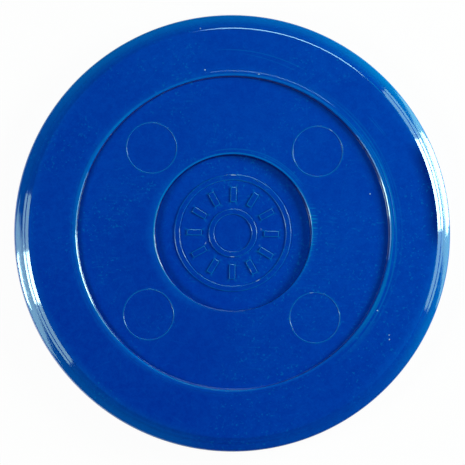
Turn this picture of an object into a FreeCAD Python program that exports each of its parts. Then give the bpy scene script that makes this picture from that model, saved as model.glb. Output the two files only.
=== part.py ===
"""Game puck: one solid disc of moulded plastic, 70 mm across, that slides on either face.

Both faces are alike. From the edge inwards each has a rim that falls away in two turned facets, a wide flat land
that carries the puck, a shallow recess, and a smaller recess in its middle. So the upper half is drawn once, as a
turned section, and mirrored. Then each face gets what the mould leaves on it alone: the marks of four ejector pins
on the upper face, and the stub of the gate in its dimple on the lower one.

The origin is at the centre of the face that the puck rests on, with +Z up through the disc. Lengths are in mm.
"""

import FreeCAD, Part

import os

import Sketcher

OUTPUT_FOLDER = "parts"
NODE_NAME = "puck"

# The driving dimensions. Each one is set by itself, and every other length is worked out from them.
SIZES = {
    # the disc
    "puck_diameter": 70.0,
    "puck_thickness": 4.8,
    # the line round the side where the two halves of the mould meet
    "parting_ridge_height": 0.03,
    "parting_ridge_width": 0.16,
    # the rim falls from the land in two facets with a fine turned step between them
    "inner_facet_width": 0.95,
    "inner_facet_drop": 0.42,
    "facet_step": 0.05,
    "outer_facet_width": 1.25,
    "outer_facet_drop": 0.73,
    "land_edge_radius": 0.6,
    "rim_edge_radius": 0.5,
    # the large recess: a bevel, then a steep wall with draft, then the floor
    "recess_diameter": 50.7,
    "recess_depth": 0.8,
    "recess_bevel_width": 0.28,
    "recess_bevel_drop": 0.17,
    "recess_wall_draft": 0.1,
    # the centre recess, sunk into the floor of the large one
    "centre_diameter": 25.5,
    "centre_depth": 1.1,
    "centre_bevel_width": 0.18,
    "centre_bevel_drop": 0.12,
    "centre_wall_draft": 0.08,
    # what the ejector pins leave on the upper face: a sunk disc inside a thin ring of flash
    "pin_count": 4,
    "first_pin_angle": 45,
    "pin_diameter": 8.0,
    "pin_sink": 0.04,
    "pin_flash_width": 0.14,
    "pin_flash_height": 0.05,
    # where the gate was broken off the lower face
    "gate_dimple_diameter": 4.0,
    "gate_dimple_depth": 0.25,
    "gate_stub_diameter": 1.3,
    "gate_stub_height": 0.16,
    # how far a cutting outline reaches past the face that it cuts
    "cut_overrun": 1.0,
}

# Places that several features share, as expressions on the sheet. Heights are from the middle of the thickness.
OUTER_RADIUS = "Sizes.puck_diameter / 2"
SIDE_RADIUS = f"{OUTER_RADIUS} - Sizes.parting_ridge_height"
LAND_RADIUS = f"{SIDE_RADIUS} - Sizes.outer_facet_width - Sizes.inner_facet_width"
LAND_HEIGHT = "Sizes.puck_thickness / 2"
FACET_JOIN_RADIUS = f"{LAND_RADIUS} + Sizes.inner_facet_width"
FACET_JOIN_HEIGHT = f"{LAND_HEIGHT} - Sizes.inner_facet_drop"
RIM_FOOT_HEIGHT = f"{FACET_JOIN_HEIGHT} - Sizes.facet_step - Sizes.outer_facet_drop"
RECESS_FLOOR_HEIGHT = f"{LAND_HEIGHT} - Sizes.recess_depth"
RECESS_FLOOR_RADIUS = "Sizes.recess_diameter / 2 - Sizes.recess_bevel_width - Sizes.recess_wall_draft"
CENTRE_FLOOR_HEIGHT = f"{RECESS_FLOOR_HEIGHT} - Sizes.centre_depth"
GATE_ROOF_HEIGHT = f"{CENTRE_FLOOR_HEIGHT} - Sizes.gate_dimple_depth"


def make_sheet(doc):
    """The spreadsheet that every sketch and feature reads."""
    sheet = doc.addObject("Spreadsheet::Sheet", "Sizes")
    for row, (alias, value) in enumerate(SIZES.items(), start=1):
        sheet.set(f"A{row}", alias)
        sheet.set(f"B{row}", str(value))
        sheet.setAlias(f"B{row}", alias)
    doc.recompute()
    return sheet


def origin_feature(body, role):
    """The origin plane or axis of the body that has this role."""
    return next(f for f in body.Origin.OriginFeatures if f.Role == role)


def number(body, expression):
    """What an expression on the sheet comes to."""
    return float(body.evalExpression(expression))


def new_sketch(body, name, role, height=None):
    """An empty sketch on an origin plane, raised off it by an expression where one is given."""
    sketch = body.newObject("Sketcher::SketchObject", name)
    sketch.AttachmentSupport = [(origin_feature(body, role), "")]
    sketch.MapMode = "FlatFace"
    if height:
        sketch.setExpression("AttachmentOffset.Base.z", height)
    return sketch


def bind(sketch, name, constraint, expression):
    """Adds a constraint under a name of its own and ties its value to an expression."""
    index = sketch.addConstraint(constraint)
    sketch.renameConstraint(index, name)
    sketch.setExpression(f"Constraints.{name}", expression)


def draw_section(body, name, corners):
    """A closed outline in the XZ plane through the corners, each given as (name, radius, height).

    Radius and height are expressions. No radius means that the corner lies on the axis of the disc, and no height
    that it lies on the middle plane.
    """
    sketch = new_sketch(body, name, "XZ_Plane")
    points = []
    for _, radius, height in corners:
        across = number(body, radius) if radius else 0
        up = number(body, height) if height else 0
        points.append(FreeCAD.Vector(across, up, 0))
    for start, end in zip(points, points[1:] + points[:1]):
        sketch.addGeometry(Part.LineSegment(start, end), False)
    for side, (corner, radius, height) in enumerate(corners):
        before = (side - 1) % len(corners)
        sketch.addConstraint(Sketcher.Constraint("Coincident", before, 2, side, 1))
        if radius:
            reach = Sketcher.Constraint("DistanceX", -1, 1, side, 1, points[side].x)
            bind(sketch, f"{corner}_radius", reach, radius)
        else:
            sketch.addConstraint(Sketcher.Constraint("PointOnObject", side, 1, -2))
        if height:
            rise = Sketcher.Constraint("DistanceY", -1, 1, side, 1, points[side].y)
            bind(sketch, f"{corner}_height", rise, height)
        else:
            sketch.addConstraint(Sketcher.Constraint("PointOnObject", side, 1, -1))
    return sketch


def draw_circles(body, name, height, diameters, distance=None, angle=None):
    """Circles about one centre, at a height over the middle plane.

    The centre is on the axis of the disc, or else at a distance and angle from it. The diameters are pairs of a
    name and an expression.
    """
    sketch = new_sketch(body, name, "XY_Plane", height)
    centre = FreeCAD.Vector(0, 0, 0)
    ray = None
    if distance:
        centre = FreeCAD.Vector(number(body, distance), number(body, distance), 0)
        ray = sketch.addGeometry(Part.LineSegment(FreeCAD.Vector(0, 0, 0), centre), True)
        sketch.addConstraint(Sketcher.Constraint("Coincident", ray, 1, -1, 1))
        bind(sketch, "distance", Sketcher.Constraint("Distance", ray, centre.Length), distance)
        turn = Sketcher.Constraint("Angle", -1, 1, ray, 1, centre.getAngle(FreeCAD.Vector(1, 0, 0)))
        bind(sketch, "angle", turn, angle)
    for circle_name, diameter in diameters:
        width = number(body, diameter)
        circle = sketch.addGeometry(Part.Circle(centre, FreeCAD.Vector(0, 0, 1), width / 2), False)
        held_by = (-1, 1) if ray is None else (ray, 2)
        sketch.addConstraint(Sketcher.Constraint("Coincident", circle, 3, *held_by))
        bind(sketch, circle_name, Sketcher.Constraint("Diameter", circle, width), diameter)
    return sketch


def add_feature(body, kind, name, sketch):
    """A feature made from a sketch, which is the body's tip when this returns."""
    feature = body.newObject(f"PartDesign::{kind}", name)
    feature.Profile = (sketch, [""])
    sketch.Visibility = False
    return feature


def turn(body, kind, name, sketch):
    """A full Revolution or Groove of a section about the axis of the disc."""
    feature = add_feature(body, kind, name, sketch)
    feature.ReferenceAxis = (sketch, ["V_Axis"])
    return feature


def round_ring(body, name, fillet_radius, ring_radius, ring_height):
    """A fillet on the round edge about the axis that has this radius and height. All three are expressions."""
    base = body.Tip
    base.Document.recompute()
    reach, height = number(body, ring_radius), number(body, ring_height)
    near = Part.Precision.approximation()
    rings = []
    for index, edge in enumerate(base.Shape.Edges, start=1):
        if not isinstance(edge.Curve, Part.Circle):
            continue
        if abs(edge.Curve.Radius - reach) < near and abs(edge.Curve.Center.z - height) < near:
            rings.append(f"Edge{index}")
    if len(rings) != 1:
        raise ValueError(f"{name} found {len(rings)} edges to round")
    fillet = body.newObject("PartDesign::Fillet", name)
    fillet.Base = (base, rings)
    fillet.setExpression("Radius", fillet_radius)
    return fillet


def make_blank(body):
    """The upper half of the disc without its recesses: land, rim, side and half of the parting ridge."""
    section = draw_section(
        body,
        "BlankSection",
        [
            ("middle", None, None),
            ("ridge_top", OUTER_RADIUS, None),
            ("ridge_foot", SIDE_RADIUS, "Sizes.parting_ridge_width / 2"),
            ("rim_foot", SIDE_RADIUS, RIM_FOOT_HEIGHT),
            ("step_foot", FACET_JOIN_RADIUS, f"{FACET_JOIN_HEIGHT} - Sizes.facet_step"),
            ("step_top", FACET_JOIN_RADIUS, FACET_JOIN_HEIGHT),
            ("land_edge", LAND_RADIUS, LAND_HEIGHT),
            ("crown", None, LAND_HEIGHT),
        ],
    )
    turn(body, "Revolution", "Blank", section)
    round_ring(body, "RimEdge", "Sizes.rim_edge_radius", SIDE_RADIUS, RIM_FOOT_HEIGHT)
    return round_ring(body, "LandEdge", "Sizes.land_edge_radius", LAND_RADIUS, LAND_HEIGHT)


def cut_recess(body, prefix, start_height):
    """A round recess with a bevelled edge and a drafted wall, cut down from start_height."""
    edge_radius = f"Sizes.{prefix}_diameter / 2"
    bevel_radius = f"{edge_radius} - Sizes.{prefix}_bevel_width"
    bevel_height = f"{start_height} - Sizes.{prefix}_bevel_drop"
    floor_radius = f"{bevel_radius} - Sizes.{prefix}_wall_draft"
    floor_height = f"{start_height} - Sizes.{prefix}_depth"
    over = f"{start_height} + Sizes.cut_overrun"
    section = draw_section(
        body,
        f"{prefix.capitalize()}Section",
        [
            ("floor_middle", None, floor_height),
            ("floor_edge", floor_radius, floor_height),
            ("bevel_foot", bevel_radius, bevel_height),
            ("bevel_top", edge_radius, start_height),
            ("clear_edge", edge_radius, over),
            ("clear_middle", None, over),
        ],
    )
    return turn(body, "Groove", f"{prefix.capitalize()}Cut", section)


def mirror_half(body):
    """The lower half, as the mirror image of the whole upper one."""
    upper = body.Tip
    mirrored = body.newObject("PartDesign::Mirrored", "LowerHalf")
    mirrored.TransformMode = "Whole shape"
    mirrored.Originals = [upper]
    mirrored.MirrorPlane = (origin_feature(body, "XY_Plane"), [""])
    body.Tip = mirrored
    return mirrored


def mark_ejector_pins(body):
    """The marks of the ejector pins, midway between the wall of the centre recess and that of the large one."""
    distance = f"(Sizes.centre_diameter / 2 + {RECESS_FLOOR_RADIUS}) / 2"
    angle = "Sizes.first_pin_angle"
    pin = ("pin", "Sizes.pin_diameter")
    flash = ("flash", "Sizes.pin_diameter + 2 * Sizes.pin_flash_width")
    face = draw_circles(body, "PinFaceSketch", RECESS_FLOOR_HEIGHT, [pin], distance, angle)
    sink = add_feature(body, "Pocket", "PinFace", face)
    sink.setExpression("Length", "Sizes.pin_sink")
    ring = draw_circles(body, "PinFlashSketch", RECESS_FLOOR_HEIGHT, [pin, flash], distance, angle)
    rise = add_feature(body, "Pad", "PinFlash", ring)
    rise.setExpression("Length", "Sizes.pin_flash_height")
    pattern = body.newObject("PartDesign::PolarPattern", "EjectorMarks")
    pattern.Originals = [sink, rise]
    pattern.Axis = (origin_feature(body, "Z_Axis"), [""])
    pattern.setExpression("Occurrences", "Sizes.pin_count")
    body.Tip = pattern
    return pattern


def mark_gate(body):
    """The dimple in the middle of the lower face, and the stub in it where the gate broke off."""
    dimple = draw_circles(
        body,
        "GateDimpleSketch",
        f"-({CENTRE_FLOOR_HEIGHT})",
        [("dimple", "Sizes.gate_dimple_diameter")],
    )
    hollow = add_feature(body, "Pocket", "GateDimple", dimple)
    hollow.setExpression("Length", "Sizes.gate_dimple_depth")
    hollow.Reversed = True
    stub = draw_circles(
        body,
        "GateStubSketch",
        f"-({GATE_ROOF_HEIGHT})",
        [("stub", "Sizes.gate_stub_diameter")],
    )
    rest = add_feature(body, "Pad", "GateStub", stub)
    rest.setExpression("Length", "Sizes.gate_stub_height")
    rest.Reversed = True
    return rest


def make_puck(doc):
    """The whole puck as one body, standing on its lower land."""
    body = doc.addObject("PartDesign::Body", "Puck")
    body.Label = NODE_NAME
    make_blank(body)
    cut_recess(body, "recess", LAND_HEIGHT)
    cut_recess(body, "centre", RECESS_FLOOR_HEIGHT)
    mirror_half(body)
    mark_ejector_pins(body)
    mark_gate(body)
    body.setExpression("Placement.Base.z", LAND_HEIGHT)
    return body


def check_document(doc, body):
    """Stops if anything failed without saying so: an object, a solid, or a feature that changed nothing."""
    for item in doc.Objects:
        if "Invalid" in item.State or "Error" in item.State:
            raise ValueError(f"{item.Name} didn't recompute: {item.State}")
    if body.Shape.isNull() or not body.Shape.isValid() or len(body.Shape.Solids) != 1:
        raise ValueError(f"{body.Label} isn't one valid solid")
    before = 0
    for feature in (f for f in body.Group if f.isDerivedFrom("PartDesign::Feature")):
        change = feature.Shape.Volume - before
        missed_cut = feature.TypeId.endswith(("Groove", "Pocket")) and change >= 0
        missed_growth = feature.TypeId.endswith(("Revolution", "Mirrored", "Pad")) and change <= 0
        if missed_cut or missed_growth or change == 0:
            raise ValueError(f"{feature.Name} changed the volume by {change}")
        before = feature.Shape.Volume


def main():
    os.makedirs(OUTPUT_FOLDER, exist_ok=True)
    doc = FreeCAD.newDocument("GamePuck")
    make_sheet(doc)
    puck = make_puck(doc)
    doc.recompute()
    check_document(doc, puck)
    box = puck.Shape.optimalBoundingBox(False, False)
    puck.Shape.exportStep(os.path.join(OUTPUT_FOLDER, f"{puck.Label}.step"))
    print(f"{puck.Label}: {box.XLength:.2f} x {box.YLength:.2f} x {box.ZLength:.2f} mm, ", end="")
    print(f"from z {box.ZMin:.3f}, {puck.Shape.Volume:.0f} mm3, {len(puck.Shape.Faces)} faces")


main()
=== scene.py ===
"""Looks of the blue game puck: one glossy moulded disc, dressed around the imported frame.

The puck is one closed mesh. Its half-section is drawn as chains of corners, the corners are
rounded, and the chains are turned about the centre line. The four ejector-pin marks and the
plain relief in the middle are set into the flat floors. Sizes in the puck's classes are
millimetres, with heights from its middle plane, and MM turns them into Blender's metres. The
studio's sizes are metres.
"""

import logging
import math
import random
from dataclasses import dataclass, field
from enum import Enum

import bmesh
import bpy
from mathutils import Matrix, Vector


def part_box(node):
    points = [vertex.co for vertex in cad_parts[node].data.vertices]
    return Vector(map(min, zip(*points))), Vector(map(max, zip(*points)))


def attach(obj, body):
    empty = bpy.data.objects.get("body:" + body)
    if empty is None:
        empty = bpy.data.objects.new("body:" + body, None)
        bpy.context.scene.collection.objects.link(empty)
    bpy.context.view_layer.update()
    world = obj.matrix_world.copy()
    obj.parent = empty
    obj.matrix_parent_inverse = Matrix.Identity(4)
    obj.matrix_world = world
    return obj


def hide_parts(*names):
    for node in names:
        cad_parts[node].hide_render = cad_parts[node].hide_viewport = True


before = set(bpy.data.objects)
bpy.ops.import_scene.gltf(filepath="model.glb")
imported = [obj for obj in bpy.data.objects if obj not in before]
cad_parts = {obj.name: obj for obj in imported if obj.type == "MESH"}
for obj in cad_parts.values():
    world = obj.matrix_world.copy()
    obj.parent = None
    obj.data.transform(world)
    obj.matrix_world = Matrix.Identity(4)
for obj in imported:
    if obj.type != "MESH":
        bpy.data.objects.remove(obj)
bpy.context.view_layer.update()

Colour = tuple[float, float, float, float]
ChainPart = bmesh.types.BMVert | bmesh.types.BMEdge

MM = 0.001
FULL_TURN = 2 * math.pi
# Sectors of the full turn: one is spun from the section, and its copies close the circle.
SECTORS = 12
# Vertices nearer than this are merged, in metres.
MERGE = 0.0003 * MM
# Heights nearer than this are level, in metres.
LEVEL = 1e-8
# An edge whose ends are this near to a circle lies on it, in mm.
ON_CIRCLE = 1e-4
# Part of a soft arc's reach over which it shows in full.
FULL_PART = 0.4
EDGE_LAYER = "edge_sharpness"
IMAGE_PIXELS = 465

log = logging.getLogger("puck")


class Front(Enum):
    """The outline of a lamp's front."""

    SQUARE = "RECTANGLE"
    ROUND = "ELLIPSE"


def compass(azimuth: float, elevation: float) -> Vector:
    """Gives the unit direction at a compass azimuth and an elevation, both in degrees."""
    turn, rise = math.radians(azimuth), math.radians(elevation)
    return Vector((math.sin(turn) * math.cos(rise), math.cos(turn) * math.cos(rise), math.sin(rise)))


def round_off(
    mesh: bmesh.types.BMesh, parts: list[ChainPart], setback: float, affect: str, steps: int,
) -> None:
    """Rounds vertices or edges off.

    Args:
        mesh: the mesh that they are in.
        parts: the vertices or edges.
        setback: how far from them the rounding starts, in mm.
        affect: VERTICES or EDGES.
        steps: straight steps that make the rounding.
    """
    bmesh.ops.bevel(
        mesh, geom=parts, offset=setback * MM, offset_type="OFFSET", affect=affect, segments=steps,
        profile=0.5, material=-1, clamp_overlap=affect == "EDGES",
    )


def is_level(item: bmesh.types.BMEdge | bmesh.types.BMFace, height: float) -> bool:
    """Says whether the whole of an edge or face lies at a height in mm."""
    return all(abs(vert.co.z - height * MM) < LEVEL for vert in item.verts)


@dataclass(frozen=True)
class Corner:
    """One corner of the turned section.

    Args:
        radius: distance from the centre line, in mm.
        height: height from the middle plane, in mm.
        rounding: radius of the rounded corner, in mm, or zero for a sharp one.
        steps: straight steps that make the rounding.
    """

    radius: float
    height: float
    rounding: float = 0.0
    steps: int = 3


class Section:
    """Chains of corners in the x-z half plane that become a turned surface."""

    largest_share: float = 0.45
    shortest_in_supports: float = 4

    def __init__(self, mesh: bmesh.types.BMesh, support: float) -> None:
        """Keeps the mesh that the chains go into.

        Args:
            mesh: the mesh to draw in.
            support: width of the narrow strip kept beside each rounding, in mm, which keeps flats flat.
        """
        self.mesh = mesh
        self.support = support

    def draw(self, corners: list[Corner]) -> list[ChainPart]:
        """Draws one chain of corners, rounds them, and puts support points beside the roundings.

        Args:
            corners: the corners in order.

        Returns:
            The chain's vertices and edges, ready to be turned.
        """
        verts = [self.mesh.verts.new((c.radius * MM, 0, c.height * MM)) for c in corners]
        for first, second in zip(verts, verts[1:]):
            self.mesh.edges.new((first, second))
        known = set(self.mesh.verts) - set(verts)
        for vert, corner, before, after in zip(verts[1:-1], corners[1:-1], corners, corners[2:]):
            if corner.rounding:
                round_off(self.mesh, [vert], self.setback(before, corner, after), "VERTICES", corner.steps)
        chain = [vert for vert in self.mesh.verts if vert not in known]
        edges = {edge for vert in chain for edge in vert.link_edges}
        for edge in sorted(edges, key=lambda e: e.verts[0].co.length):
            self.add_support(edge)
        chain = [vert for vert in self.mesh.verts if vert not in known]
        return chain + list({edge for vert in chain for edge in vert.link_edges})

    def setback(self, before: Corner, corner: Corner, after: Corner) -> float:
        """Gives how far from a corner its rounding starts.

        Args:
            before: the corner before it.
            corner: the rounded corner.
            after: the corner after it.

        Returns:
            The distance in mm, within each straight's largest share.
        """
        first = Vector((corner.radius - before.radius, corner.height - before.height))
        second = Vector((after.radius - corner.radius, after.height - corner.height))
        wanted = corner.rounding * math.tan(first.angle(second) / 2)
        return min(wanted, self.largest_share * first.length, self.largest_share * second.length)

    def add_support(self, edge: bmesh.types.BMEdge) -> None:
        """Splits a long straight close to both of its ends, and leaves a short one whole.

        Args:
            edge: one edge of the chain.
        """
        length = edge.calc_length() / MM
        if length < self.shortest_in_supports * self.support:
            return
        share = self.support / length
        first, second = edge.verts
        bmesh.utils.edge_split(edge, first, share)
        far = [e for e in second.link_edges if e.calc_length() / MM > length * (1 - 2 * share)]
        bmesh.utils.edge_split(far[0], second, share / (1 - share))

    def turn(self, geometry: list[ChainPart], steps: int) -> None:
        """Turns chains one sector about the centre line, and copies the sector round the circle.

        Args:
            geometry: the chains' vertices and edges.
            steps: steps of the full circle.
        """
        bmesh.ops.spin(
            self.mesh, geom=geometry, cent=(0, 0, 0), axis=(0, 0, 1), angle=FULL_TURN / SECTORS,
            steps=steps // SECTORS, use_merge=False,
        )
        bmesh.ops.spin(
            self.mesh, geom=self.mesh.faces[:] + self.mesh.edges[:] + self.mesh.verts[:],
            cent=(0, 0, 0), axis=(0, 0, 1), angle=FULL_TURN, steps=SECTORS,
            use_duplicate=True, use_merge=False,
        )
        bmesh.ops.remove_doubles(self.mesh, verts=self.mesh.verts, dist=MERGE)


@dataclass(frozen=True)
class Facet:
    """One turned facet of the rim.

    Args:
        end_radius: where it ends, in mm.
        tilt: how steeply it falls outwards, in degrees.
        rows: fine rows that the tool left on it.
    """

    end_radius: float
    tilt: float
    rows: int


@dataclass
class Rim:
    """The faceted rim, with the tool's fine rows on its facets, and the side with its parting line."""

    outer_radius: float = 35.0
    ridge_half_width: float = 0.08
    ridge_rounding: float = 0.02
    land_height: float = 2.4
    polish_radius: float = 32.68
    polish_drop: float = 0.022
    polish_rounding: float = 0.25
    land_edge_radius: float = 32.84
    land_edge_rounding: float = 0.16
    inner_facets: tuple[Facet, ...] = (Facet(33.32, 26.0, 3), Facet(33.46, 19.0, 1), Facet(33.75, 26.0, 2))
    step_width: float = 0.01
    step_drop: float = 0.05
    outer_facets: tuple[Facet, ...] = (
        Facet(34.03, 19.8, 1), Facet(34.30, 20.5, 1), Facet(34.55, 21.2, 1), Facet(34.62, 24.0, 1),
        Facet(34.97, 30.6, 1),
    )
    crisp_from: float = 32.8
    crisp_angle: float = 4.6
    foot_radius: float = 34.97
    foot_rounding: float = 0.38
    foot_steps: int = 6
    row_wave: float = 0.0016
    row_rounding: float = 0.05

    def fall(self, start: Corner, facets: tuple[Facet, ...], draw: random.Random) -> list[Corner]:
        """Gives the corners of some facets, with their rows.

        Args:
            start: upper end of the first facet.
            facets: the facets in order.
            draw: seeded random numbers.

        Returns:
            The corners after the start, with the last facet's end.
        """
        corners = [start]
        for facet in facets:
            top = corners[-1]
            width = facet.end_radius - top.radius
            drop = width * math.tan(math.radians(facet.tilt))
            for row in range(1, facet.rows + 1):
                share = row / facet.rows
                lift = draw.uniform(-self.row_wave, self.row_wave) if row < facet.rows else 0.0
                rounding = self.row_rounding if row < facet.rows else 0.0
                height = top.height - share * drop + lift
                corners.append(Corner(top.radius + share * width, height, rounding, 2))
        return corners[1:]

    def corners(self, draw: random.Random) -> list[Corner]:
        """Gives the corners from the land's edge to the parting line.

        Args:
            draw: seeded random numbers.

        Returns:
            The corners, from the land outwards and down.
        """
        land_edge = Corner(
            self.land_edge_radius, self.land_height - self.polish_drop, self.land_edge_rounding, 3)
        inner = self.fall(land_edge, self.inner_facets, draw)
        step_foot = Corner(inner[-1].radius + self.step_width, inner[-1].height - self.step_drop)
        outer = self.fall(step_foot, self.outer_facets, draw)
        return [
            Corner(self.polish_radius, self.land_height, self.polish_rounding, 2), land_edge,
            *inner, step_foot, *outer[:-1],
            Corner(self.foot_radius, outer[-1].height, self.foot_rounding, self.foot_steps),
            Corner(self.foot_radius, self.ridge_half_width, self.ridge_rounding, 2),
            Corner(self.outer_radius, 0.0),
        ]


@dataclass
class Recess:
    """The large recess: drafted wall and bevel, with a low lip and a shallow dip in the land outside."""

    floor_height: float = 1.6
    floor_radius: float = 25.02
    floor_rounding: float = 0.10
    bevel_foot_radius: float = 25.14
    bevel_foot_height: float = 2.281
    bevel_break_radius: float = 25.24
    bevel_break_height: float = 2.346
    edge_radius: float = 25.32
    edge_height: float = 2.387
    edge_rounding: float = 0.04
    lip_radius: float = 25.90
    lip_rounding: float = 0.16
    dip_radius: float = 25.97
    dip_depth: float = 0.028
    dip_rounding: float = 0.12
    dip_end_radius: float = 27.4
    dip_end_rounding: float = 8.0

    def corners(self, land_height: float) -> list[Corner]:
        """Gives the corners from the floor's edge outwards to the land.

        Args:
            land_height: height of the land, in mm.

        Returns:
            The corners in order.
        """
        return [
            Corner(self.floor_radius, self.floor_height, self.floor_rounding),
            Corner(self.bevel_foot_radius, self.bevel_foot_height, self.edge_rounding),
            Corner(self.bevel_break_radius, self.bevel_break_height),
            Corner(self.edge_radius, self.edge_height, self.edge_rounding),
            Corner(self.lip_radius, land_height, self.lip_rounding),
            Corner(self.dip_radius, land_height - self.dip_depth, self.dip_rounding),
            Corner(self.dip_end_radius, land_height, self.dip_end_rounding),
        ]


@dataclass
class Centre:
    """The centre recess: drafted wall and bevel, below an edge that lies a touch under the floor outside."""

    floor_height: float = 0.5
    floor_radius: float = 12.49
    floor_rounding: float = 0.025
    bevel_foot_radius: float = 12.61
    bevel_foot_height: float = 1.535
    edge_radius: float = 12.69
    edge_height: float = 1.59
    edge_rounding: float = 0.03
    fall_end_radius: float = 13.1
    fall_end_rounding: float = 0.3

    def corners(self, recess_floor: float) -> list[Corner]:
        """Gives the corners from the centre floor's edge outwards to the large recess's floor.

        Args:
            recess_floor: height of the large recess's floor, in mm.

        Returns:
            The corners in order.
        """
        return [
            Corner(self.floor_radius, self.floor_height, self.floor_rounding),
            Corner(self.bevel_foot_radius, self.bevel_foot_height, self.edge_rounding),
            Corner(self.edge_radius, self.edge_height, self.edge_rounding),
            Corner(self.fall_end_radius, recess_floor, self.fall_end_rounding, 2),
        ]


@dataclass
class Relief:
    """The plain raised relief in the middle: two rings with short bars set round between them."""

    height: float = 0.22
    draft: float = 0.06
    inner_ring: tuple[float, float] = (3.0, 3.9)
    outer_ring: tuple[float, float] = (8.5, 9.4)
    foot_rounding: float = 0.04
    edge_rounding: float = 0.05
    bar_count: int = 12
    bar_start: float = 5.0
    bar_end: float = 7.4
    bar_width: float = 0.95
    bar_corner: float = 0.2
    top_inset: float = 1.5
    field_inner: float = 4.4
    field_outer: float = 7.9
    field_margin: float = 0.2

    def ring(self, span: tuple[float, float], floor: float) -> list[Corner]:
        """Gives the corners of one raised ring.

        Args:
            span: the ring's inner and outer radius, in mm.
            floor: height of the floor, in mm.

        Returns:
            The corners from the inside outwards.
        """
        start, end = span
        top = floor + self.height
        return [
            Corner(start, floor, self.foot_rounding, 2),
            Corner(start + self.draft, top, self.edge_rounding),
            Corner(end - self.draft, top, self.edge_rounding),
            Corner(end, floor, self.foot_rounding, 2),
        ]

    def add_bar(self, mesh: bmesh.types.BMesh, floor: float, turn: float) -> None:
        """Adds one bar: a box with rounded upright edges and no bottom.

        Args:
            mesh: the puck's mesh.
            floor: height of the floor, in mm.
            turn: angle about the centre line, in radians.
        """
        length, middle = self.bar_end - self.bar_start, (self.bar_end + self.bar_start) / 2
        half_way = (floor + self.height / 2) * MM
        bar = bmesh.ops.create_cube(mesh, size=1.0)["verts"]
        size = Matrix.Diagonal((self.bar_width * MM, length * MM, self.height * MM, 1))
        lift = Matrix.Translation((0, middle * MM, half_way))
        bmesh.ops.transform(mesh, matrix=Matrix.Rotation(turn, 4, "Z") @ lift @ size, verts=bar)
        faces = {face for vert in bar for face in vert.link_faces}
        bottom = min(faces, key=lambda f: f.calc_center_median().z)
        upright = [
            edge for edge in {e for f in faces for e in f.edges}
            if min(v.co.z for v in edge.verts) < half_way < max(v.co.z for v in edge.verts)
        ]
        bmesh.ops.delete(mesh, geom=[bottom], context="FACES_ONLY")
        round_off(mesh, upright, self.bar_corner, "EDGES", 3)

    def add_bars(self, mesh: bmesh.types.BMesh, floor: float) -> list[bmesh.types.BMEdge]:
        """Adds the bars and rounds their upper edges.

        Args:
            mesh: the puck's mesh.
            floor: height of the floor, in mm.

        Returns:
            The edges round the bars' feet, where the floor joins them.
        """
        for index in range(self.bar_count):
            self.add_bar(mesh, floor, index * FULL_TURN / self.bar_count)
        inner, outer, top = self.field_inner, self.field_outer, floor + self.height
        feet = [
            edge for edge in mesh.edges if edge.is_boundary and is_level(edge, floor)
            and inner + self.field_margin < edge.verts[0].co.xy.length / MM < outer - self.field_margin
        ]
        rims = [
            edge for edge in mesh.edges if is_level(edge, top) and not edge.is_boundary
            and inner < edge.verts[0].co.xy.length / MM < outer
        ]
        round_off(mesh, rims, self.edge_rounding, "EDGES", 2)
        tops = [
            face for face in mesh.faces
            if is_level(face, top) and inner < face.calc_center_median().xy.length / MM < outer
        ]
        bmesh.ops.inset_individual(mesh, faces=tops, thickness=self.edge_rounding * self.top_inset * MM)
        return feet


@dataclass
class PinMark:
    """One ejector pin's round witness mark: a face a touch low, inside a thin raised flash."""

    radius: float = 4.0
    sink: float = 0.04
    wall_width: float = 0.04
    foot_rounding: float = 0.02
    flash_width: float = 0.14
    flash_height: float = 0.025
    flash_outer_share: float = 0.8
    flash_rounding: float = 0.03
    flash_foot: float = 0.02
    margin: float = 0.1
    circle_radius: float = 18.86
    first_angle: float = 45.0
    count: int = 4
    field_inner: float = 14.3
    field_outer: float = 23.5
    turn_steps: int = 96

    def corners(self, floor: float) -> list[Corner]:
        """Gives the corners of one mark's section.

        Args:
            floor: height of the floor that it is in, in mm.

        Returns:
            The corners from the mark's own centre outwards.
        """
        outside, low = self.radius + self.flash_width, floor - self.sink
        outer_height = floor + self.flash_height * self.flash_outer_share
        return [
            Corner(0.0, low),
            Corner(self.radius - self.wall_width, low, self.foot_rounding, 2),
            Corner(self.radius, floor + self.flash_height, self.flash_rounding),
            Corner(outside - self.flash_rounding, outer_height, self.flash_rounding),
            Corner(outside + self.flash_foot, floor, self.flash_rounding, 2),
            Corner(outside + self.margin, floor),
        ]


@dataclass
class Gate:
    """The moulding gate in the middle of the lower face: a shallow dimple with a short stub."""

    dimple_radius: float = 2.0
    dimple_depth: float = 0.25
    dimple_slope: float = 0.08
    dimple_rounding: float = 0.06
    stub_radius: float = 0.65
    stub_height: float = 0.16
    stub_draft: float = 0.04
    stub_foot_rounding: float = 0.05

    def corners(self, floor: float) -> list[Corner]:
        """Gives the corners of the gate's section.

        Args:
            floor: height of the centre floor, in mm.

        Returns:
            The corners from the centre line outwards to the floor.
        """
        deep = floor - self.dimple_depth
        return [
            Corner(0.0, deep + self.stub_height),
            Corner(self.stub_radius - self.stub_draft, deep + self.stub_height, self.stub_draft, 2),
            Corner(self.stub_radius, deep, self.stub_foot_rounding, 2),
            Corner(self.dimple_radius - self.dimple_slope, deep, self.dimple_slope),
            Corner(self.dimple_radius, floor, self.dimple_rounding),
        ]


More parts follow.
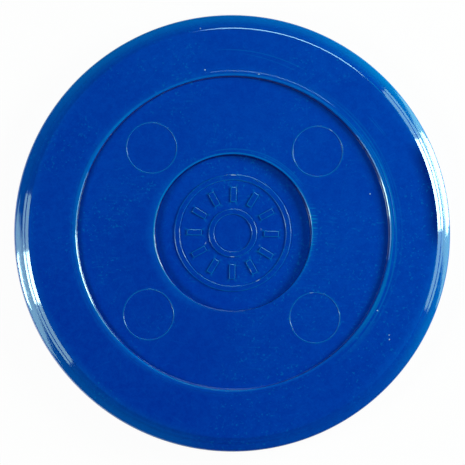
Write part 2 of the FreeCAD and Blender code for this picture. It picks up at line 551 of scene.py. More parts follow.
class Shade:
    """A shader socket, or a plain number, that takes part in Python sums."""

    def __init__(self, nodes: "Shader", value: "bpy.types.NodeSocket | float") -> None:
        """Keeps the node maker and the socket or number."""
        self.nodes = nodes
        self.value = value

    def math(self, operation: str, *others: "Shade | float") -> "Shade":
        """Adds a Math node on this value and others."""
        return self.nodes.make("ShaderNodeMath", {"operation": operation}, [self, *others])

    def __add__(self, other: "Shade | float") -> "Shade":
        """Adds."""
        return self.math("ADD", other)

    __radd__ = __add__

    def __mul__(self, other: "Shade | float") -> "Shade":
        """Multiplies."""
        return self.math("MULTIPLY", other)

    __rmul__ = __mul__

    def __sub__(self, other: "Shade | float") -> "Shade":
        """Takes other from this."""
        return self.math("SUBTRACT", other)

    def __rsub__(self, other: "Shade | float") -> "Shade":
        """Takes this from other."""
        return Shade(self.nodes, other).math("SUBTRACT", self)

    def __truediv__(self, other: "Shade | float") -> "Shade":
        """Divides."""
        return self.math("DIVIDE", other)

    def __rtruediv__(self, other: "Shade | float") -> "Shade":
        """Divides other by this."""
        return Shade(self.nodes, other).math("DIVIDE", self)

    def band(self, low: float, high: float) -> "Shade":
        """Rises smoothly from 0 at low to 1 at high, or falls where high is the smaller.

        Args:
            low: the value that gives 0.
            high: the value that gives 1.

        Returns:
            A number from 0 to 1.
        """
        node = self.nodes.add("ShaderNodeMapRange", {"interpolation_type": "SMOOTHSTEP", "clamp": True})
        swap = high < low
        values = (self, min(low, high), max(low, high), 1.0 if swap else 0.0, 0.0 if swap else 1.0)
        for name, value in zip(("Value", "From Min", "From Max", "To Min", "To Max"), values):
            self.nodes.put(node.inputs[name], value)
        return Shade(self.nodes, node.outputs["Result"])


class Shader:
    """Makes the nodes of one material."""

    def __init__(self, name: str) -> None:
        """Makes an empty material.

        Args:
            name: the material's name.
        """
        self.material = bpy.data.materials.new(name)
        self.material.use_nodes = True
        self.tree = self.material.node_tree
        self.tree.nodes.clear()

    def add(self, kind: str, settings: dict) -> bpy.types.Node:
        """Adds a node and sets its settings.

        Args:
            kind: the node's type.
            settings: its properties by name.

        Returns:
            The node.
        """
        node = self.tree.nodes.new(kind)
        for name, value in settings.items():
            setattr(node, name, value)
        return node

    def put(self, socket: bpy.types.NodeSocket, value: object) -> None:
        """Sets a socket to a number or colour, or links it.

        Args:
            socket: the socket to fill.
            value: the number, colour, socket or Shade that fills it.
        """
        if isinstance(value, Shade):
            value = value.value
        if isinstance(value, bpy.types.NodeSocket):
            self.tree.links.new(value, socket)
        else:
            socket.default_value = value

    def make(self, kind: str, settings: dict, inputs: "list | dict", output: "int | str" = 0) -> Shade:
        """Adds a node with its inputs.

        Args:
            kind: the node's type.
            settings: properties that are set first.
            inputs: values or links, in order or by socket name.
            output: which output to give back.

        Returns:
            The chosen output.
        """
        node = self.add(kind, settings)
        pairs = inputs.items() if isinstance(inputs, dict) else enumerate(inputs)
        for key, value in pairs:
            self.put(node.inputs[key], value)
        return Shade(self, node.outputs[output])

    def split(self, kind: str, value: object) -> list[Shade]:
        """Takes a vector or a colour apart.

        Args:
            kind: the type of the node that does it.
            value: the vector or colour.

        Returns:
            Its three numbers.
        """
        node = self.add(kind, {})
        self.put(node.inputs[0], value)
        return [Shade(self, output) for output in node.outputs]

    def blend(self, factor: "Shade | float", first: object, second: object) -> Shade:
        """Mixes two colours.

        Args:
            factor: how much of the second shows, from 0 to 1.
            first: the colour at 0.
            second: the colour at 1.

        Returns:
            The mixed colour.
        """
        node = self.add("ShaderNodeMix", {"data_type": "RGBA"})
        for socket, value in zip((node.inputs[0], node.inputs[6], node.inputs[7]), (factor, first, second)):
            self.put(socket, value)
        return Shade(self, node.outputs[2])

    def finish(self, surface: object) -> bpy.types.Material:
        """Ends the material.

        Args:
            surface: the surface shader's output.

        Returns:
            The finished material.
        """
        end = self.add("ShaderNodeOutputMaterial", {})
        self.put(end.inputs["Surface"], surface)
        return self.material


class Spot:
    """The spot on the puck that is coloured, in mm from the puck's middle."""

    def __init__(self, sh: Shader) -> None:
        """Reads the object's own coordinates.

        Args:
            sh: the material's node maker.
        """
        self.sh = sh
        self.position = sh.make("ShaderNodeTexCoord", {}, [], "Object")
        self.x, self.y, self.z = (
            part * (1 / MM) for part in sh.split("ShaderNodeSeparateXYZ", self.position))
        self.radius = (self.x * self.x + self.y * self.y).math("SQRT")

    def noise(self, scale: float, detail: float) -> Shade:
        """Gives plain noise at a scale per metre."""
        inputs = {"Vector": self.position, "Scale": scale, "Detail": detail}
        return self.sh.make("ShaderNodeTexNoise", {}, inputs)

    def noise_on(self, parts: "list[Shade | float]", detail: float, scale: float = 1.0) -> Shade:
        """Gives noise on a place of its own, made of three numbers."""
        inputs = {"Vector": self.sh.make("ShaderNodeCombineXYZ", {}, parts), "Scale": scale, "Detail": detail}
        return self.sh.make("ShaderNodeTexNoise", {}, inputs)

    def rings(self, pitch: float, detail: float) -> Shade:
        """Gives noise that runs round the puck in thin rings, at a pitch per mm."""
        return self.noise_on([self.x / self.radius, self.y / self.radius, self.radius * pitch], detail)

    def cells(self, scale: float) -> bpy.types.Node:
        """Makes a pattern of cells.

        Args:
            scale: cells per metre.

        Returns:
            The pattern's node.
        """
        node = self.sh.add("ShaderNodeTexVoronoi", {"feature": "F1"})
        self.sh.put(node.inputs["Vector"], self.position)
        self.sh.put(node.inputs["Scale"], scale)
        return node

    def total(self, marks: "tuple[Scratch | Fleck | Tone, ...]") -> Shade:
        """Adds the masks of some marks up, to 1 at most.

        Args:
            marks: the marks.

        Returns:
            A number from 0 to 1.
        """
        total = Shade(self.sh, 0.0)
        for mark in marks:
            total = total + mark.mask(self)
        return total.math("MINIMUM", 1.0)


def fade_ends(facing: Shade, reach: float) -> Shade:
    """Fades an arc towards its ends.

    Args:
        facing: cosine of the angle from the arc's middle.
        reach: half of the arc's length, in degrees.

    Returns:
        1 in the arc's middle part, and 0 from its ends on.
    """
    return facing.band(math.cos(math.radians(reach)), math.cos(math.radians(reach * FULL_PART)))


@dataclass(frozen=True)
class Scratch:
    """One arc on the upper face, in mm from the puck's middle. The arcs draw hair scratches, painted
    highlight lines along the steps' edges and painted shadow lines at the walls' feet.

    Args:
        centre: the arc's centre.
        radius: the arc's radius.
        middle: compass direction of the arc's middle, seen from its centre, in degrees.
        reach: half of the arc's length, in degrees.
        depth: how strongly it shows, from 0 to 1.
        half_width: half of its width, in mm.
        core: part of that width that shows in full.
    """

    centre: tuple[float, float]
    radius: float
    middle: float
    reach: float
    depth: float
    half_width: float = 0.1
    core: float = 0.2

    def mask(self, spot: Spot) -> Shade:
        """Gives the scratch's mask.

        Args:
            spot: the spot on the puck.

        Returns:
            The mask, as strong as the scratch is deep.
        """
        dx, dy = spot.x - self.centre[0], spot.y - self.centre[1]
        away = (dx * dx + dy * dy).math("SQRT")
        line = (away - self.radius).math("ABSOLUTE").band(self.half_width, self.half_width * self.core)
        way = compass(self.middle, 0)
        return line * fade_ends((dx * way.x + dy * way.y) / self.radius, self.reach) * self.depth


@dataclass(frozen=True)
class Fleck:
    """One bright fleck on the upper face.

    Args:
        centre: its place, in mm from the puck's middle.
        radius: its radius, in mm.
        core: part of the radius that shows in full.
    """

    centre: tuple[float, float]
    radius: float
    core: float = 0.3

    def mask(self, spot: Spot) -> Shade:
        """Gives the fleck's mask at a spot."""
        dx, dy = spot.x - self.centre[0], spot.y - self.centre[1]
        return (dx * dx + dy * dy).math("SQRT").band(self.radius, self.radius * self.core)


@dataclass(frozen=True)
class Tone:
    """A soft arc beside a round edge, in mm from the puck's middle. The arcs place the painted glows and
    painted shadow, and the ripples.

    Args:
        start: radius where it begins.
        edge: radius of the edge where it is strongest and stops.
        middle: compass direction of its middle, in degrees.
        reach: half of its length, in degrees.
        strength: how strongly it shows at the edge, from 0 to 1.
        stop: width over which it stops past the edge.
    """

    start: float
    edge: float
    middle: float
    reach: float
    strength: float
    stop: float = 0.06

    def mask(self, spot: Spot) -> Shade:
        """Gives the tone's mask.

        Args:
            spot: the spot on the puck.

        Returns:
            The mask, up to the tone's strength.
        """
        past = self.edge + math.copysign(self.stop, self.edge - self.start)
        along = spot.radius.band(self.start, self.edge) * spot.radius.band(past, self.edge)
        way = compass(self.middle, 0)
        facing = (spot.x * way.x + spot.y * way.y) / spot.radius
        return along * fade_ends(facing, self.reach) * self.strength


@dataclass(frozen=True)
class Layer:
    """One layer of noise in the plastic's blue.

    Args:
        scale: the noise's scale, per metre.
        detail: the noise's detail.
        low: the noise that adds nothing.
        high: the noise that adds the whole share.
        share: how much lighter it makes the blue.
    """

    scale: float
    detail: float
    low: float
    high: float
    share: float


@dataclass(frozen=True)
class BluePlastic:
    """Glossy blue moulded plastic with turning marks, paler sharp edges, fine scuffs and specks, and painted
    light and shade: glows and highlight lines at the steps and rim, shadow beside the rim and at the walls'
    feet, and a lighter side towards the lamps.
    """

    name: str = "blue_plastic_moulded"
    blue: Colour = (0.0, 0.0695, 0.505, 1.0)
    deep_blue: Colour = (0.0, 0.0255, 0.36, 1.0)
    # Pale blue of specks, scuffs, sharp edges and scratches, and of the painted highlight lines along the
    # step edges.
    edge_blue: Colour = (0.0, 0.23, 0.58, 1.0)
    # Light blue of the painted glows and highlight lines beside the steps and inside the rim.
    painted_edge_light_blue: Colour = (0.0, 0.14, 0.66, 1.0)
    # Bright blue of the painted glow on the rim.
    painted_glow_blue: Colour = (0.0, 0.33, 0.76, 1.0)
    # Dark blue of the painted shadow on the land beside the rim.
    painted_shadow_blue: Colour = (0.0, 0.018, 0.21, 1.0)
    # Dark blue of the painted shadow lines at the walls' feet.
    painted_wall_shadow_blue: Colour = (0.0, 0.010, 0.20, 1.0)
    nick_pale: Colour = (0.45, 0.62, 0.75, 1.0)
    refraction: float = 1.585
    shine: float = 0.05
    gloss: float = 0.9
    gloss_tint: Colour = (0.70, 1.0, 1.0, 1.0)
    bump_height: float = 0.0000025
    rim_start: float = 32.9
    upper_start: float = 1.0
    brushed_end: float = 24.6
    cloud: Layer = Layer(90.0, 3.0, 0.3, 0.7, 0.14)
    mottle: Layer = Layer(900.0, 4.0, 0.34, 0.66, 0.18)
    grain: Layer = Layer(3200.0, 2.0, 0.3, 0.7, 0.20)
    lightness: float = 0.25
    # Painted light: the blue grows lighter towards the lamps on the right and at the top.
    painted_light_slope: tuple[float, float] = (0.0028, 0.0046)
    # Hair scratches, and painted highlight lines along stretches of the step and rim edges (the arcs centred
    # on the middle).
    scratches_and_edge_glints: tuple[Scratch, ...] = (
        Scratch((-1.0, 4.1), 25.2, 12.0, 20.0, 0.34),
        Scratch((-2.5, 1.5), 27.4, 17.0, 12.0, 0.22),
        Scratch((1.0, -2.0), 29.2, 48.0, 5.0, 0.25),
        Scratch((0.5, -1.0), 29.2, 51.0, 4.0, 0.22),
        Scratch((0.15, 0.0), 13.45, 18.0, 44.0, 0.38),
        Scratch((0.5, 0.4), 12.65, 34.0, 22.0, 0.28),
        Scratch((0.0, 0.0), 12.80, 0.0, 179.0, 0.65, 0.12),
        Scratch((0.0, 0.0), 12.76, 255.0, 75.0, 0.40, 0.12),
        Scratch((0.0, 0.0), 25.40, 0.0, 179.0, 0.45),
        Scratch((0.0, 0.0), 25.30, 215.0, 55.0, 0.40, 0.12),
        Scratch((0.0, 0.0), 32.76, 50.0, 15.0, 0.62),
        Scratch((0.0, 0.0), 32.76, 103.0, 12.0, 0.5),
        Scratch((0.0, 0.0), 33.14, 12.0, 26.0, 0.16),
    )
    # Painted shadow: dark lines round the feet of the two recess walls.
    painted_wall_shadows: tuple[Scratch, ...] = (
        Scratch((0.0, 0.0), 12.49, 0.0, 179.0, 0.9, 0.19), Scratch((0.0, 0.0), 25.00, 0.0, 179.0, 0.9, 0.19),
    )
    flecks: tuple[Fleck, ...] = (
        Fleck((-5.05, 25.97), 0.15), Fleck((3.61, 25.46), 0.14), Fleck((-5.9, 32.6), 0.14),
        Fleck((21.9, 6.7), 0.14), Fleck((23.3, -12.0), 0.13), Fleck((25.25, -15.9), 0.12),
        Fleck((25.3, -16.6), 0.12),
    )
    # Painted light: soft glows beside the recess edges on the lit sides, highlight lines along the edges, and
    # lighter bands on the land inside the rim.
    painted_edge_lights: tuple[Tone, ...] = (
        Tone(14.4, 12.66, 262.0, 75.0, 0.36),
        Tone(14.0, 12.66, 75.0, 75.0, 0.22),
        Tone(12.98, 12.60, 0.0, 179.0, 0.75),
        Tone(26.7, 25.22, 262.0, 95.0, 0.42),
        Tone(27.2, 25.22, 45.0, 80.0, 0.24),
        Tone(25.62, 25.20, 180.0, 60.0, 0.50),
        Tone(25.62, 25.20, 0.0, 150.0, 0.50),
        Tone(31.2, 32.85, 90.0, 60.0, 0.25),
        Tone(31.2, 32.85, 255.0, 60.0, 0.10),
    )
    # Painted light: soft bright blue glows on five stretches of the rim.
    painted_rim_glows: tuple[Tone, ...] = (
        Tone(32.7, 35.1, 78.0, 60.0, 0.34), Tone(32.7, 35.1, 8.0, 75.0, 0.33),
        Tone(31.4, 35.1, 222.0, 42.0, 0.21), Tone(32.0, 35.1, 140.0, 45.0, 0.07),
        Tone(31.8, 35.1, 284.0, 50.0, 0.15),
    )
    # Painted shadow: a dark arc on the land just inside the rim on the right, beside the brightest rim
    # reflections.
    painted_rim_shadows: tuple[Tone, ...] = (Tone(30.2, 32.88, 78.0, 18.0, 1.1),)
    ripples: tuple[Tone, ...] = (Tone(27.7, 25.3, 80.0, 66.0, 1.0), Tone(26.6, 25.3, 290.0, 70.0, 0.6))
    row_pitch: float = 9.0
    ripple_pitch: float = 3.3
    comb_pitch: float = 3.4
    comb_middle: float = -1.0
    comb_lean: float = 0.1
    brush_stretch: tuple[float, float] = (0.35, 2.6)
    brush_patches: float = 0.11
    nick_scale: float = 700.0
    crumb_scale: float = 2600.0
    group_scale: float = 110.0
    scuff_sizes: tuple[tuple[float, float, float], ...] = ((240.0, 0.010, 0.55), (520.0, 0.016, 0.5))
    scuff_gain: float = 1.6
    pin_offset: float = 13.336
    pin_line: float = 4.07
    speck_strength: float = 0.32
    scuff_strength: float = 0.08
    pale_edge_strength: float = 0.75
    scratch_and_glint_strength: float = 0.8
    ripple_strength: float = 0.5
    pin_strength: float = 0.25
    pale_limit: float = 0.9
    mottle_rough: float = 0.06
    scuff_rough: float = 0.05
    row_rough: float = 0.04
    edge_rough: float = 0.15
    row_height: float = 0.25
    rim_row_height: float = 0.8
    mottle_height: float = 0.35
    grain_height: float = 0.15
    scuff_depth: float = 0.15
    speck_height: float = 0.4

    def build(self) -> bpy.types.Material:
        """Builds the material.

        Returns:
            The finished material.
        """
        sh = Shader(self.name)
        spot = Spot(sh)
        cloud, mottle, grain = (
            spot.noise(layer.scale, layer.detail) for layer in (self.cloud, self.mottle, self.grain))
        rows = spot.rings(self.row_pitch, 2.0)
        scuffs = self.scuffs(spot) * self.scuff_gain
        scuffs = scuffs + self.brushed(spot) * spot.radius.band(self.brushed_end, self.brushed_end - 1.0)
        specks = self.specks(spot)
        upper = spot.z.band(self.upper_start, self.upper_start + 0.2)
        on_rim = spot.radius.band(self.rim_start, self.rim_start + 0.1)
        edge = sh.make("ShaderNodeAttribute", {"attribute_name": EDGE_LAYER}, [], "Fac") * (1 - on_rim)

        base = cloud.band(self.cloud.low, self.cloud.high) * self.cloud.share
        base = base + mottle.band(self.mottle.low, self.mottle.high) * self.mottle.share
        base = base + grain.band(self.grain.low, self.grain.high) * self.grain.share
        # Painted light slope: lighter towards the right and the top.
        base = base + (spot.x * self.painted_light_slope[0] + spot.y * self.painted_light_slope[1]) + self.lightness
        colour = sh.blend(base, self.deep_blue, self.blue)
        # Painted light: lighter blue beside the step edges and inside the rim.
        colour = sh.blend(spot.total(self.painted_edge_lights) * (mottle * 0.6 + 0.7), colour, self.painted_edge_light_blue)
        # Painted light: the rim glows brighter blue on those stretches.
        colour = sh.blend(spot.total(self.painted_rim_glows), colour, self.painted_glow_blue)
        # Painted shadow: the land beside the rim is darkened.
        colour = sh.blend(spot.total(self.painted_rim_shadows) * upper, colour, self.painted_shadow_blue)
        # Painted shadow lines at the feet of the recess walls.
        colour = sh.blend(spot.total(self.painted_wall_shadows), colour, self.painted_wall_shadow_blue)

        # Paler blue along sharp outward edges, with the comb of short scratches.
        pale_edges = edge * (mottle * 1.2 + 0.2) + self.comb(spot)
        ripple = spot.total(self.ripples) * upper * spot.rings(self.ripple_pitch, 1.0).band(0.50, 0.58)
        pale = specks * self.speck_strength + scuffs * self.scuff_strength + pale_edges * self.pale_edge_strength
        # Scratches and painted highlight lines along the step edges, made paler.
        pale = pale + spot.total(self.scratches_and_edge_glints) * upper * self.scratch_and_glint_strength
        pale = pale + ripple * self.ripple_strength + self.pin_lines(spot) * upper * self.pin_strength
        colour = sh.blend(pale.math("MINIMUM", self.pale_limit), colour, self.edge_blue)
        bright = (self.nicks(spot, edge) + spot.total(self.flecks)).math("MINIMUM", 1.0)
        colour = sh.blend(bright * upper, colour, self.nick_pale)

        rough = self.shine + (mottle - 0.5) * self.mottle_rough + scuffs * self.scuff_rough
        rough = rough + (rows - 0.5) * self.row_rough + edge * self.edge_rough
        height = rows * (on_rim * self.rim_row_height + self.row_height) + mottle * self.mottle_height
        height = height + grain * self.grain_height - scuffs * self.scuff_depth + specks * self.speck_height
        inputs = {"Strength": 1.0, "Distance": self.bump_height, "Height": height}
        bump = sh.make("ShaderNodeBump", {}, inputs, "Normal")
        surface = sh.make("ShaderNodeBsdfPrincipled", {}, {
            "Base Color": colour, "Roughness": rough, "Normal": bump, "IOR": self.refraction,
            "Specular IOR Level": self.gloss, "Specular Tint": self.gloss_tint,
        })
        return sh.finish(surface)

    def brushed(self, spot: Spot) -> Shade:
        """Gives the faint strokes that run mostly across the puck, in loose patches.

        Args:
            spot: the spot on the puck.

        Returns:
            The strokes' mask.
        """
        along, across = self.brush_stretch
        strokes = spot.noise_on([spot.x * along, spot.y * across, 0.0], 3.0)
        patches = spot.noise_on([spot.x, spot.y, 3.0], 2.0, self.brush_patches)
        return strokes.band(0.55, 0.72) * patches.band(0.45, 0.65) * 1.6

    def pin_lines(self, spot: Spot) -> Shade:
        """Gives the paler lines round the four ejector-pin marks.

        Args:
            spot: the spot on the puck.

        Returns:
            The lines' mask.
        """
        dx, dy = (part.math("ABSOLUTE") - self.pin_offset for part in (spot.x, spot.y))
        away = (dx * dx + dy * dy).math("SQRT") - self.pin_line
        return away.math("ABSOLUTE").band(0.14, 0.03)

    def comb(self, spot: Spot) -> Shade:
        """Gives the row of short scratches across the right-hand edge of the centre recess.

        Args:
            spot: the spot on the puck.

        Returns:
            The scratches' mask.
        """
        teeth = spot.noise_on([0.0, spot.y * self.comb_pitch, 7.0], 1.0)
        reach = spot.radius.band(12.6, 12.72) * (spot.radius - spot.y * self.comb_lean).band(13.7, 12.9)
        span = (spot.y - self.comb_middle).math("ABSOLUTE").band(6.3, 4.8) * spot.x.band(0.0, 1.0)
        return teeth.band(0.50, 0.60) * reach * span

    def nicks(self, spot: Spot, edge: Shade) -> Shade:
        """Gives a few bright nicks on the edges.

        Args:
            spot: the spot on the puck.
            edge: how sharply the surface turns there.

        Returns:
            The nicks' mask.
        """
        cell = spot.cells(self.nick_scale)
        lot = spot.sh.split("ShaderNodeSeparateColor", cell.outputs["Color"])[0]
        near = Shade(spot.sh, cell.outputs["Distance"]).band(0.35, 0.1)
        return near * lot.band(0.84, 0.86) * edge.band(0.03, 0.3)

    def specks(self, spot: Spot) -> Shade:
        """Gives small pale specks, in loose groups."""
        crumbs = spot.noise(self.crumb_scale, 3.0).band(0.60, 0.70)
        return crumbs * spot.noise(self.group_scale, 3.0).band(0.44, 0.62)

    def scuffs(self, spot: Spot) -> Shade:
        """Gives short hair-thin scuffs, one per cell, each at its own angle.

        Args:
            spot: the spot on the puck.

        Returns:
            The scuffs' mask.
        """
        sh = spot.sh
        total = Shade(sh, 0.0)
        for scale, width, share in self.scuff_sizes:
            cell = spot.cells(scale)
            lots = sh.split("ShaderNodeSeparateColor", cell.outputs["Color"])
            angle = lots[0] * FULL_TURN
            away = sh.make(
                "ShaderNodeVectorMath", {"operation": "SUBTRACT"}, [spot.position, cell.outputs["Position"]])
            dx, dy = (part * scale for part in sh.split("ShaderNodeSeparateXYZ", away)[:2])
            cosine, sine = angle.math("COSINE"), angle.math("SINE")
            across = (dx * sine - dy * cosine).math("ABSOLUTE")
            along = (dx * cosine + dy * sine).math("ABSOLUTE")
            kept = lots[1].band(share, share + 0.05)
            total = total + across.band(width, width * 0.3) * along.band(0.42, 0.30) * kept
        return total


@dataclass
class Puck:
    """The puck's one piece, at the CAD node's place."""

    name: str = "puck_moulding"
    node: str = "puck"
    turn_steps: int = 360
    support: float = 0.06
    crisp_angle: float = 28.0
    sharp_from: float = 16
    sharp_span: float = 30
    seed: int = 7
    rim: Rim = field(default_factory=Rim)
    recess: Recess = field(default_factory=Recess)
    centre: Centre = field(default_factory=Centre)
    relief: Relief = field(default_factory=Relief)
    pin_mark: PinMark = field(default_factory=PinMark)
    gate: Gate = field(default_factory=Gate)

    def build(self) -> bpy.types.Object:
        """Builds the closed mesh.

        Returns:
            The puck's object.
        """
        mesh = bmesh.new()
        section = Section(mesh, self.support)
        geometry: list[ChainPart] = []
        for chain in self.chains():
            geometry += section.draw(chain)
        section.turn(geometry, self.turn_steps)
        self.fill_relief(mesh)
        self.fill_pin_marks(mesh)
        bmesh.ops.remove_doubles(mesh, verts=mesh.verts, dist=MERGE)
        low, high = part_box(self.node)
        grow = (high.x - low.x) / 2 / (self.rim.outer_radius * MM)
        place = Matrix.Translation((low + high) / 2) @ Matrix.Scale(grow, 4)
        bmesh.ops.transform(mesh, matrix=place, verts=mesh.verts)
        bmesh.ops.recalc_face_normals(mesh, faces=mesh.faces)
        self.smooth(mesh)
        self.mark_edges(mesh)
        open_edges = sum(not edge.is_manifold for edge in mesh.edges)
        log.info("%s: %d faces, %d open edges", self.name, len(mesh.faces), open_edges)
        data = bpy.data.meshes.new(self.name)
        mesh.to_mesh(data)
        mesh.free()
        piece = bpy.data.objects.new(self.name, data)
        bpy.context.scene.collection.objects.link(piece)
        return piece

    def smooth(self, mesh: bmesh.types.BMesh) -> None:
        """Shades the faces smooth, and keeps the facets' and the sharp edges crisp.

        Args:
            mesh: the puck's mesh.
        """
        for face in mesh.faces:
            face.smooth = True
        for edge in mesh.edges:
            on_rim = min(v.co.xy.length for v in edge.verts) > self.rim.crisp_from * MM
            limit = self.rim.crisp_angle if on_rim else self.crisp_angle
            edge.smooth = edge.calc_face_angle(0.0) < math.radians(limit)

    def mark_edges(self, mesh: bmesh.types.BMesh) -> None:
        """Stores how sharply the surface turns outwards at each vertex, where the blue is made paler.

        Args:
            mesh: the puck's mesh.
        """
        layer = mesh.verts.layers.float.new(EDGE_LAYER)
        for vert in mesh.verts:
            turn = sum(max(0.0, edge.calc_face_angle_signed(0.0)) for edge in vert.link_edges)
            vert[layer] = min(1.0, max(0.0, math.degrees(turn) - self.sharp_from) / self.sharp_span)

    def chains(self) -> list[list[Corner]]:
        """Gives the chains of corners to turn.

        Returns:
            The middle, the strip outside the bars, and the rest, from the marks' field round to the gate.
        """
        draw = random.Random(self.seed)
        floor, recess_floor, land = self.centre.floor_height, self.recess.floor_height, self.rim.land_height
        relief, pins = self.relief, self.pin_mark
        middle = [
            Corner(0.0, floor), *relief.ring(relief.inner_ring, floor), Corner(relief.field_inner, floor)]
        strip = [
            Corner(relief.field_outer, floor), *relief.ring(relief.outer_ring, floor),
            *self.centre.corners(recess_floor), Corner(pins.field_inner, recess_floor)]
        upper = [
            Corner(pins.field_outer, recess_floor), *self.recess.corners(land), *self.rim.corners(draw)]
        lower = [
            *self.gate.corners(floor), *self.centre.corners(recess_floor),
            *self.recess.corners(land), *self.rim.corners(draw)]
        flipped = [Corner(c.radius, -c.height, c.rounding, c.steps) for c in reversed(lower[:-1])]
        return [middle, strip, upper + flipped]

    @staticmethod
    def circle(mesh: bmesh.types.BMesh, radius: float, height: float) -> list[bmesh.types.BMEdge]:
        """Gives the open edges that lie on one circle about the centre line.

        Args:
            mesh: the puck's mesh.
            radius: the circle's radius, in mm.
            height: its height, in mm.

        Returns:
            The edges.
        """
        return [
            edge for edge in mesh.edges if edge.is_boundary and all(
                abs(v.co.xy.length / MM - radius) < ON_CIRCLE and abs(v.co.z / MM - height) < ON_CIRCLE
                for v in edge.verts)]

    def fill_relief(self, mesh: bmesh.types.BMesh) -> None:
        """Adds the bars and the floor round them.

        Args:
            mesh: the puck's mesh.
        """
        relief, floor = self.relief, self.centre.floor_height
        edges = self.circle(mesh, relief.field_inner, floor) + self.circle(mesh, relief.field_outer, floor)
        edges += relief.add_bars(mesh, floor)
        bmesh.ops.triangle_fill(mesh, use_beauty=True, use_dissolve=False, edges=edges, normal=(0, 0, 1))

    def fill_pin_marks(self, mesh: bmesh.types.BMesh) -> None:
        """Adds the four ejector-pin marks and the floor round them.

        Args:
            mesh: the puck's mesh.
        """
        pins, floor = self.pin_mark, self.recess.floor_height
        mark = bmesh.new()
        section = Section(mark, self.support)
        section.turn(section.draw(pins.corners(floor)), pins.turn_steps)
        bmesh.ops.translate(mark, vec=(pins.circle_radius * MM, 0, 0), verts=mark.verts)
        first = Matrix.Rotation(math.radians(pins.first_angle), 3, "Z")
        bmesh.ops.rotate(mark, matrix=first, verts=mark.verts)
        bmesh.ops.spin(
            mark, geom=mark.faces[:] + mark.edges[:] + mark.verts[:], cent=(0, 0, 0), axis=(0, 0, 1),
            angle=FULL_TURN, steps=pins.count, use_duplicate=True, use_merge=False,
        )
        bmesh.ops.remove_doubles(mark, verts=mark.verts, dist=MERGE)
        marks = bpy.data.meshes.new("pin_marks")
        mark.to_mesh(marks)
        mark.free()
        mesh.from_mesh(marks)
        bpy.data.meshes.remove(marks)
        known = set(self.circle(mesh, pins.field_inner, floor) + self.circle(mesh, pins.field_outer, floor))
        feet = [
            edge for edge in mesh.edges
            if edge.is_boundary and edge not in known and is_level(edge, floor)]
        bmesh.ops.triangle_fill(
            mesh, use_beauty=True, use_dissolve=False, edges=[*known, *feet], normal=(0, 0, 1))


@dataclass
class Lamp:
    """One soft studio lamp.

    Args:
        name: the lamp's name.
        azimuth: compass direction that it hangs in, in degrees.
        elevation: its angle over the table, in degrees.
        distance: its distance from the puck.
        width: width of its front.
        height: height of its front.
        radiance: how bright its front is.
        colour: its colour.
        front: its front's outline.
    """

    name: str
    azimuth: float
    elevation: float
    distance: float
    width: float
    height: float
    radiance: float
    colour: tuple[float, float, float]
    front: Front = Front.SQUARE

    def area(self) -> float:
        """Gives the area of the lamp's front."""
        return self.width * self.height * (math.pi / 4 if self.front is Front.ROUND else 1.0)

    def build(self, target: Vector) -> bpy.types.Object:
        """Hangs the lamp, facing the puck.

        Args:
            target: the point that it faces.

        Returns:
            The lamp's object.
        """
        data = bpy.data.lights.new(self.name, "AREA")
        data.shape = self.front.value
        data.size, data.size_y = self.width, self.height
        data.energy = self.radiance * math.pi * self.area()
        data.color = self.colour
        lamp = bpy.data.objects.new(self.name, data)
        way = compass(self.azimuth, self.elevation)
        lamp.location = target + way * self.distance
        lamp.rotation_mode = "QUATERNION"
        lamp.rotation_quaternion = way.to_track_quat("Z", "Y")
        lamp.visible_camera = False
        bpy.context.scene.collection.objects.link(lamp)
        return lamp


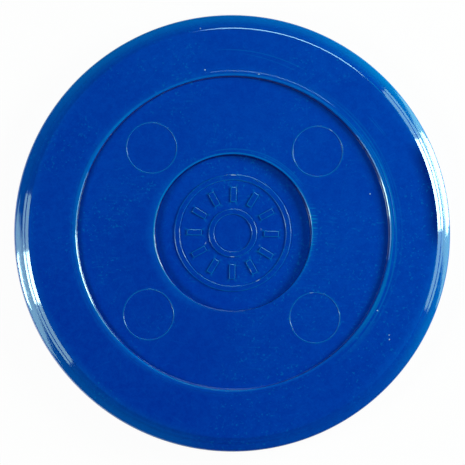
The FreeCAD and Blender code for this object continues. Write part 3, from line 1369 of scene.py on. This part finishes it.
@dataclass
class Studio:
    """The pale floor, the soft lamps and the camera over the puck."""

    floor_half: float = 2.5
    floor_gap: float = 0.00002
    floor_segments: int = 96
    floor_rise: tuple[tuple[float, float], ...] = ((0.10, 0.02), (0.09, 0.05), (0.06, 0.10), (0.02, 0.30))
    floor_grey: float = 0.85
    floor_glow: float = 0.96
    camera_azimuth: float = 243.0
    camera_tilt: float = 5.0
    camera_roll: float = 1.0
    camera_distance: float = 0.8
    camera_clip: tuple[float, float] = (0.01, 20.0)
    sensor_width: float = 36.0
    pixel: float = 0.00016032
    aim_right: float = -0.05
    aim_up: float = 0.70
    world_level: float = 0.008
    lamps: tuple[Lamp, ...] = (
        Lamp("lamp_right", 73.9, 27.6, 0.32, 0.118, 0.124, 17.0, (0.90, 0.95, 0.95)),
        Lamp("lamp_right_wide", 77.1, 27.9, 0.33, 0.338, 0.170, 3.05, (0.69, 1.0, 0.72), Front.ROUND),
        Lamp("lamp_left", 257.7, 37.2, 0.50, 0.110, 0.162, 15.8, (0.90, 0.95, 0.93)),
        Lamp("lamp_left_wide", 256.0, 38.45, 0.51, 0.402, 0.240, 3.1, (0.78, 0.95, 0.86), Front.ROUND),
        Lamp("lamp_top", 22.5, 64.7, 0.60, 0.182, 0.075, 8.5, (0.62, 0.95, 1.0)),
    )

    def build(self, target: Vector, ground: float) -> bpy.types.Object:
        """Sets the floor, lamps, world and camera.

        Args:
            target: the puck's middle.
            ground: height of the puck's lowest face.

        Returns:
            The camera.
        """
        self.lay_floor(ground)
        for lamp in self.lamps:
            lamp.build(target)
        world = bpy.data.worlds.new("studio_dark")
        world.use_nodes = True
        world.node_tree.nodes["Background"].inputs["Color"].default_value = (*(self.world_level,) * 3, 1)
        bpy.context.scene.world = world
        return self.set_camera(target)

    def lay_floor(self, ground: float) -> None:
        """Lays the pale floor, whose edge rises into a low wall all round.

        Args:
            ground: height of the puck's lowest face.
        """
        mesh = bmesh.new()
        bmesh.ops.create_circle(mesh, cap_ends=True, segments=self.floor_segments, radius=self.floor_half)
        rim = [edge for edge in mesh.edges if edge.is_boundary]
        for reach, rise in self.floor_rise:
            made = bmesh.ops.extrude_edge_only(mesh, edges=rim)["geom"]
            verts = [v for v in made if isinstance(v, bmesh.types.BMVert)]
            share = 1 + reach / self.floor_half
            bmesh.ops.scale(mesh, vec=(share, share, 1), verts=verts)
            bmesh.ops.translate(mesh, vec=(0, 0, rise), verts=verts)
            rim = [e for e in made if isinstance(e, bmesh.types.BMEdge)]
        bmesh.ops.translate(mesh, vec=(0, 0, ground - self.floor_gap), verts=mesh.verts)
        bmesh.ops.recalc_face_normals(mesh, faces=mesh.faces)
        data = bpy.data.meshes.new("pale_floor")
        mesh.to_mesh(data)
        mesh.free()
        floor = bpy.data.objects.new("pale_floor", data)
        bpy.context.scene.collection.objects.link(floor)
        data.materials.append(self.floor_material())

    def floor_material(self) -> bpy.types.Material:
        """Builds the pale floor's finish: white to the eye, with the puck's soft shadow kept.

        Returns:
            The finished material.
        """
        sh = Shader("pale_floor")
        path = sh.add("ShaderNodeLightPath", {})
        seen = Shade(sh, 0.0)
        for ray in ("Is Camera Ray", "Is Glossy Ray", "Is Transmission Ray"):
            seen = seen + Shade(sh, path.outputs[ray])
        seen = seen.math("MINIMUM", 1.0)
        matt = sh.make("ShaderNodeBsdfDiffuse", {}, {"Color": (*(self.floor_grey,) * 3, 1)})
        glow = sh.make("ShaderNodeEmission", {}, {"Color": (1.0, 1.0, 1.0, 1.0)})
        return sh.finish(sh.make("ShaderNodeMixShader", {}, [seen * self.floor_glow, matt, glow]))

    def set_camera(self, target: Vector) -> bpy.types.Object:
        """Sets the camera over the puck, tilted a little as in the photograph.

        Args:
            target: the puck's middle.

        Returns:
            The camera.
        """
        data = bpy.data.cameras.new("camera")
        back = compass(self.camera_azimuth, 90 - self.camera_tilt)
        top = compass(-self.camera_roll, 0)
        right = top.cross(back).normalized()
        up = back.cross(right)
        data.sensor_width = self.sensor_width
        data.lens = data.sensor_width * self.camera_distance / (IMAGE_PIXELS * self.pixel)
        data.clip_start, data.clip_end = self.camera_clip
        camera = bpy.data.objects.new("camera", data)
        aim = target + (right * self.aim_right + up * self.aim_up) * self.pixel
        camera.matrix_world = Matrix.Translation(aim + back * self.camera_distance) @ Matrix(
            (right, up, back)).transposed().to_4x4()
        bpy.context.scene.collection.objects.link(camera)
        bpy.context.scene.camera = camera
        return camera


def main() -> None:
    """Builds the puck and the studio, in order."""
    logging.basicConfig(level=logging.INFO, format="%(name)s: %(message)s")
    puck = Puck()
    piece = puck.build()
    piece.data.materials.append(BluePlastic().build())
    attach(piece, "root")
    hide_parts(puck.node)
    low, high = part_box(puck.node)
    Studio().build((low + high) / 2, low.z)
    log.info("studio set")
    bpy.context.scene.view_settings.view_transform = "Standard"


if __name__ == "__main__":
    main()
